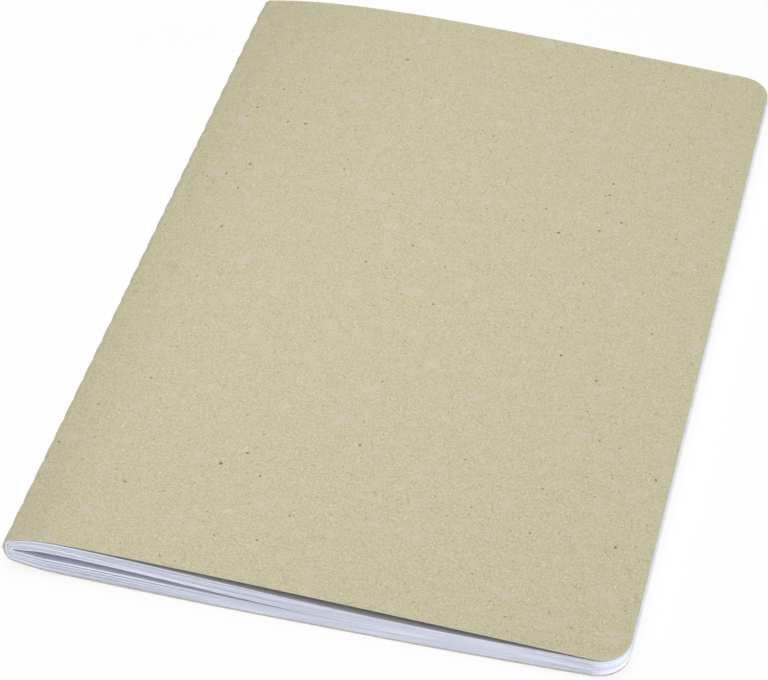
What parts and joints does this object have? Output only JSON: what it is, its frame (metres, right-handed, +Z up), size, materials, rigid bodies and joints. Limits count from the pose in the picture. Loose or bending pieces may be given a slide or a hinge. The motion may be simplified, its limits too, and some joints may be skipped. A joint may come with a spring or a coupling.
{
  "type": "notebook",
  "caption": "Thin single-section notebook, sewn through the fold into a plain folded board cover with rounded fore-edge corners.",
  "frame": {"origin": "under the middle of the closed notebook's outer box, on the surface it lies on", "axes": "+X from the spine to the fore edge, +Y from the foot to the head along the spine, +Z up through the closed pages"},
  "size_m": [0.1404, 0.21, 0.0109],
  "materials": {
    "board": "matt recycled board with fine fibres",
    "paper": "matt uncoated bluish-white paper",
    "thread": "twisted natural thread"
  },
  "bodies": {
    "back_half": {"back_cover": "board", "cover_spine": "board", "sheet_01_back_leaf": "paper", "sheet_01_fold": "paper", "sheet_02_back_leaf": "paper", "sheet_02_fold": "paper", "sheet_03_back_leaf": "paper", "sheet_03_fold": "paper", "sheet_04_back_leaf": "paper", "sheet_04_fold": "paper", "sheet_05_back_leaf": "paper", "sheet_05_fold": "paper", "sheet_06_back_leaf": "paper", "sheet_06_fold": "paper", "sheet_07_back_leaf": "paper", "sheet_07_fold": "paper", "sheet_08_back_leaf": "paper", "sheet_08_fold": "paper", "sheet_09_back_leaf": "paper", "sheet_09_fold": "paper", "sheet_10_back_leaf": "paper", "sheet_10_fold": "paper", "sheet_11_back_leaf": "paper", "sheet_11_fold": "paper", "sheet_12_back_leaf": "paper", "sheet_12_fold": "paper", "sheet_13_back_leaf": "paper", "sheet_13_fold": "paper", "sheet_14_back_leaf": "paper", "sheet_14_fold": "paper", "sheet_15_back_leaf": "paper", "sheet_15_fold": "paper", "sheet_16_back_leaf": "paper", "sheet_16_fold": "paper"},
    "leaf_01": {"sheet_01_front_leaf": "paper"},
    "leaf_02": {"sheet_02_front_leaf": "paper"},
    "leaf_03": {"sheet_03_front_leaf": "paper"},
    "leaf_04": {"sheet_04_front_leaf": "paper"},
    "leaf_05": {"sheet_05_front_leaf": "paper"},
    "leaf_06": {"sheet_06_front_leaf": "paper"},
    "leaf_07": {"sheet_07_front_leaf": "paper"},
    "leaf_08": {"sheet_08_front_leaf": "paper"},
    "leaf_09": {"sheet_09_front_leaf": "paper"},
    "leaf_10": {"sheet_10_front_leaf": "paper"},
    "leaf_11": {"sheet_11_front_leaf": "paper"},
    "leaf_12": {"sheet_12_front_leaf": "paper"},
    "leaf_13": {"sheet_13_front_leaf": "paper"},
    "leaf_14": {"sheet_14_front_leaf": "paper"},
    "leaf_15": {"sheet_15_front_leaf": "paper"},
    "leaf_16": {"sheet_16_front_leaf": "paper"},
    "seam": {"seam_thread_outside": "thread", "seam_thread_inside": "thread"},
    "front_board": {"front_cover": "board"}
  },
  "joints": [
    {"name": "leaf_01_turn", "type": "hinge", "parent": "back_half", "child": "leaf_01", "pos_m": [-0.06698, 0, 0.0061], "axis": [0, -1, 0], "range_deg": [0, 179], "deforming": ["sheet_01_fold", "cover_spine"]},
    {"name": "leaf_02_turn", "type": "hinge", "parent": "back_half", "child": "leaf_02", "pos_m": [-0.06698, 0, 0.0061], "axis": [0, -1, 0], "range_deg": [0, 178.55], "deforming": ["sheet_02_fold"]},
    {"name": "leaf_03_turn", "type": "hinge", "parent": "back_half", "child": "leaf_03", "pos_m": [-0.06698, 0, 0.0061], "axis": [0, -1, 0], "range_deg": [0, 178.1], "deforming": ["sheet_03_fold"]},
    {"name": "leaf_04_turn", "type": "hinge", "parent": "back_half", "child": "leaf_04", "pos_m": [-0.06698, 0, 0.0061], "axis": [0, -1, 0], "range_deg": [0, 177.66], "deforming": ["sheet_04_fold"]},
    {"name": "leaf_05_turn", "type": "hinge", "parent": "back_half", "child": "leaf_05", "pos_m": [-0.06698, 0, 0.0061], "axis": [0, -1, 0], "range_deg": [0, 177.21], "deforming": ["sheet_05_fold"]},
    {"name": "leaf_06_turn", "type": "hinge", "parent": "back_half", "child": "leaf_06", "pos_m": [-0.06698, 0, 0.0061], "axis": [0, -1, 0], "range_deg": [0, 176.76], "deforming": ["sheet_06_fold"]},
    {"name": "leaf_07_turn", "type": "hinge", "parent": "back_half", "child": "leaf_07", "pos_m": [-0.06698, 0, 0.0061], "axis": [0, -1, 0], "range_deg": [0, 176.31], "deforming": ["sheet_07_fold"]},
    {"name": "leaf_08_turn", "type": "hinge", "parent": "back_half", "child": "leaf_08", "pos_m": [-0.06698, 0, 0.0061], "axis": [0, -1, 0], "range_deg": [0, 175.87], "deforming": ["sheet_08_fold"]},
    {"name": "leaf_09_turn", "type": "hinge", "parent": "back_half", "child": "leaf_09", "pos_m": [-0.06698, 0, 0.0061], "axis": [0, -1, 0], "range_deg": [0, 175.42], "deforming": ["sheet_09_fold"]},
    {"name": "leaf_10_turn", "type": "hinge", "parent": "back_half", "child": "leaf_10", "pos_m": [-0.06698, 0, 0.0061], "axis": [0, -1, 0], "range_deg": [0, 174.97], "deforming": ["sheet_10_fold"]},
    {"name": "leaf_11_turn", "type": "hinge", "parent": "back_half", "child": "leaf_11", "pos_m": [-0.06698, 0, 0.0061], "axis": [0, -1, 0], "range_deg": [0, 174.53], "deforming": ["sheet_11_fold"]},
    {"name": "leaf_12_turn", "type": "hinge", "parent": "back_half", "child": "leaf_12", "pos_m": [-0.06698, 0, 0.0061], "axis": [0, -1, 0], "range_deg": [0, 174.08], "deforming": ["sheet_12_fold"]},
    {"name": "leaf_13_turn", "type": "hinge", "parent": "back_half", "child": "leaf_13", "pos_m": [-0.06698, 0, 0.0061], "axis": [0, -1, 0], "range_deg": [0, 173.63], "deforming": ["sheet_13_fold"]},
    {"name": "leaf_14_turn", "type": "hinge", "parent": "back_half", "child": "leaf_14", "pos_m": [-0.06698, 0, 0.0061], "axis": [0, -1, 0], "range_deg": [0, 173.18], "deforming": ["sheet_14_fold"]},
    {"name": "leaf_15_turn", "type": "hinge", "parent": "back_half", "child": "leaf_15", "pos_m": [-0.06698, 0, 0.0061], "axis": [0, -1, 0], "range_deg": [0, 172.74], "deforming": ["sheet_15_fold"]},
    {"name": "leaf_16_turn", "type": "hinge", "parent": "back_half", "child": "leaf_16", "pos_m": [-0.06698, 0, 0.0061], "axis": [0, -1, 0], "range_deg": [0, 172.29], "deforming": ["sheet_16_fold"]},
    {"name": "seam_turn", "type": "hinge", "parent": "back_half", "child": "seam", "pos_m": [-0.06698, 0, 0.0061], "axis": [0, -1, 0], "range_deg": [0, 89.5]},
    {"name": "front_cover_turn", "type": "hinge", "parent": "leaf_01", "child": "front_board", "pos_m": [-0.05978, 0, 0.0111], "axis": [0, -1, 0], "range_deg": [0, 179]}
  ],
  "couplings": [
    {"joint": "leaf_02_turn", "follows": "leaf_01_turn", "ratio": 0.9975},
    {"joint": "leaf_03_turn", "follows": "leaf_01_turn", "ratio": 0.995},
    {"joint": "leaf_04_turn", "follows": "leaf_01_turn", "ratio": 0.9925},
    {"joint": "leaf_05_turn", "follows": "leaf_01_turn", "ratio": 0.99},
    {"joint": "leaf_06_turn", "follows": "leaf_01_turn", "ratio": 0.9875},
    {"joint": "leaf_07_turn", "follows": "leaf_01_turn", "ratio": 0.985},
    {"joint": "leaf_08_turn", "follows": "leaf_01_turn", "ratio": 0.9825},
    {"joint": "leaf_09_turn", "follows": "leaf_01_turn", "ratio": 0.98},
    {"joint": "leaf_10_turn", "follows": "leaf_01_turn", "ratio": 0.9775},
    {"joint": "leaf_11_turn", "follows": "leaf_01_turn", "ratio": 0.975},
    {"joint": "leaf_12_turn", "follows": "leaf_01_turn", "ratio": 0.9725},
    {"joint": "leaf_13_turn", "follows": "leaf_01_turn", "ratio": 0.97},
    {"joint": "leaf_14_turn", "follows": "leaf_01_turn", "ratio": 0.9675},
    {"joint": "leaf_15_turn", "follows": "leaf_01_turn", "ratio": 0.965},
    {"joint": "leaf_16_turn", "follows": "leaf_01_turn", "ratio": 0.9625},
    {"joint": "seam_turn", "follows": "leaf_01_turn", "ratio": 0.5}
  ]
}
